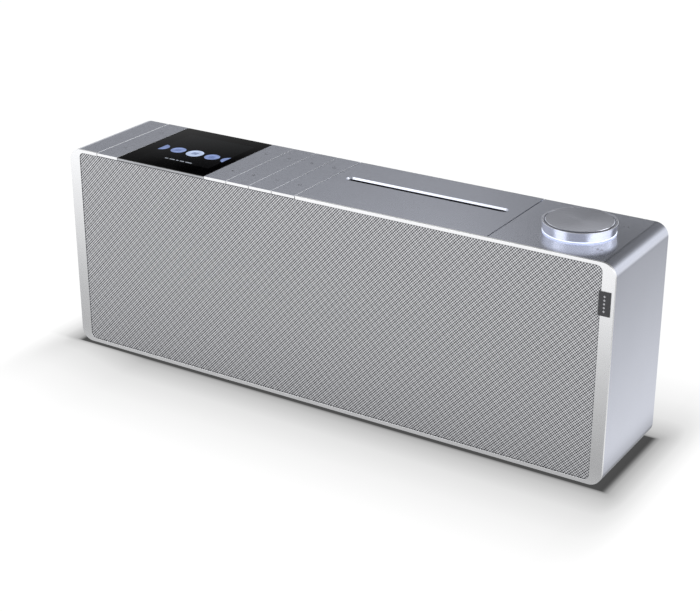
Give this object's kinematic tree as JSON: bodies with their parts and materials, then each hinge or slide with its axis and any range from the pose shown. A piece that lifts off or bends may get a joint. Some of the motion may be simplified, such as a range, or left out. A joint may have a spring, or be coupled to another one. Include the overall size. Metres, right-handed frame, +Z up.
{
  "type": "mini hi-fi system",
  "caption": "One-box music system with a woven front grille, top display, rocking keys, an upright disc slot and a turning, pressing volume knob with a light ring.",
  "frame": {"origin": "on the table surface, under the middle of the cabinet", "axes": "+X to the listener's right, +Y towards the rear panel, +Z up; the grille faces -Y"},
  "size_m": [0.42, 0.0832, 0.1586],
  "materials": {
    "satin_aluminium": "bead-blasted, satin anodised",
    "bright_aluminium": "fine satin, light anodised face with a bright chamfer",
    "turned_aluminium": "turned and polished",
    "woven_metal": "fine woven wire cloth",
    "black_glass": "glossy, back-printed black",
    "black_plastic": "fine moulded texture",
    "grey_plastic": "satin",
    "light_plastic": "translucent light guide",
    "rubber": "matte",
    "woven_label": "woven satin ribbon",
    "steel": "zinc plated",
    "cast_metal": "black powder coat",
    "cone_paper": "pressed fibre",
    "circuit_board": "solder mask"
  },
  "bodies": {
    "cabinet": {"housing_sleeve": "satin_aluminium", "front_bezel": "bright_aluminium", "grille_frame": "grey_plastic", "grille": "woven_metal", "fabric_tag": "woven_label", "display_glass": "black_glass", "display_trim": "grey_plastic", "display_module": "black_plastic", "key_board": "circuit_board", "top_carrier": "black_plastic", "slot_plate": "satin_aluminium", "disc_guide": "black_plastic", "light_ring": "light_plastic", "rotary_encoder": "black_plastic", "baffle": "black_plastic", "disc_chassis": "steel", "disc_cover": "steel", "spindle_motor": "steel", "sled_motor": "steel", "loading_motor": "steel", "main_board": "circuit_board", "amplifier_board": "circuit_board", "heatsink": "cast_metal", "power_supply": "circuit_board", "rear_panel": "black_plastic", "socket_plate": "steel", "bass_port": "black_plastic", "mains_inlet": "black_plastic", "antenna_socket": "steel", "network_socket": "steel", "usb_socket": "steel", "optical_socket": "black_plastic", "audio_jacks": "black_plastic", "left_driver_frame": "cast_metal", "left_driver_magnet": "steel", "left_driver_surround": "rubber", "right_driver_frame": "cast_metal", "right_driver_magnet": "steel", "right_driver_surround": "rubber", "rear_screw_1": "steel", "foot_1": "rubber", "rear_screw_2": "steel", "foot_2": "rubber", "rear_screw_3": "steel", "foot_3": "rubber", "rear_screw_4": "steel", "foot_4": "rubber"},
    "key_1": {"key_1": "satin_aluminium"},
    "key_2": {"key_2": "satin_aluminium"},
    "key_3": {"key_3": "satin_aluminium"},
    "key_4": {"key_4": "satin_aluminium"},
    "key_5": {"key_5": "satin_aluminium"},
    "knob_ring": {"knob_ring": "turned_aluminium"},
    "knob_cap": {"knob_cap": "turned_aluminium"},
    "left_cone": {"left_driver_cone": "cone_paper"},
    "right_cone": {"right_driver_cone": "cone_paper"},
    "disc_spindle": {"disc_spindle": "black_plastic"},
    "laser_sled": {"laser_sled": "cast_metal"},
    "lead_screw": {"lead_screw": "steel"},
    "loading_roller": {"loading_roller": "rubber"}
  },
  "joints": [
    {"name": "key_1_rock", "type": "hinge", "parent": "cabinet", "child": "key_1", "pos_m": [-0.17565, 0, 0.1476], "axis": [1, 0, 0], "range_deg": [-0.4, 0.4], "stiffness_Nm_per_rad": 6},
    {"name": "key_2_rock", "type": "hinge", "parent": "cabinet", "child": "key_2", "pos_m": [-0.08185, 0, 0.1476], "axis": [1, 0, 0], "range_deg": [-0.4, 0.4], "stiffness_Nm_per_rad": 6},
    {"name": "key_3_rock", "type": "hinge", "parent": "cabinet", "child": "key_3", "pos_m": [-0.06335, 0, 0.1476], "axis": [1, 0, 0], "range_deg": [-0.4, 0.4], "stiffness_Nm_per_rad": 6},
    {"name": "key_4_rock", "type": "hinge", "parent": "cabinet", "child": "key_4", "pos_m": [-0.04485, 0, 0.1476], "axis": [1, 0, 0], "range_deg": [-0.4, 0.4], "stiffness_Nm_per_rad": 6},
    {"name": "key_5_rock", "type": "hinge", "parent": "cabinet", "child": "key_5", "pos_m": [-0.02635, 0, 0.1476], "axis": [1, 0, 0], "range_deg": [-0.4, 0.4], "stiffness_Nm_per_rad": 6},
    {"name": "knob_turn", "type": "hinge", "parent": "cabinet", "child": "knob_ring", "pos_m": [0.1672, 0, 0.1512], "axis": [0, 0, 1], "continuous": true},
    {"name": "knob_press", "type": "slide", "parent": "cabinet", "child": "knob_cap", "axis": [0, 0, -1], "range_m": [0, 0.0008], "stiffness_N_per_m": 3000},
    {"name": "left_cone_stroke", "type": "slide", "parent": "cabinet", "child": "left_cone", "axis": [0, -1, 0], "range_m": [-0.002, 0.002], "stiffness_N_per_m": 1000},
    {"name": "right_cone_stroke", "type": "slide", "parent": "cabinet", "child": "right_cone", "axis": [0, -1, 0], "range_m": [-0.002, 0.002], "stiffness_N_per_m": 1000},
    {"name": "disc_spin", "type": "hinge", "parent": "cabinet", "child": "disc_spindle", "pos_m": [0.0532, 0.016, 0.082], "axis": [0, 1, 0], "continuous": true},
    {"name": "sled_slide", "type": "slide", "parent": "cabinet", "child": "laser_sled", "axis": [1, 0, 0], "range_m": [0, 0.034]},
    {"name": "lead_screw_turn", "type": "hinge", "parent": "cabinet", "child": "lead_screw", "pos_m": [0.094, 0.0225, 0.062], "axis": [1, 0, 0], "range_deg": [0, 3062]},
    {"name": "roller_turn", "type": "hinge", "parent": "cabinet", "child": "loading_roller", "pos_m": [0.0532, 0.0156, 0.127], "axis": [1, 0, 0], "continuous": true}
  ],
  "couplings": [
    {"joint": "lead_screw_turn", "follows": "sled_slide", "rad_per_m": 1570.8}
  ]
}
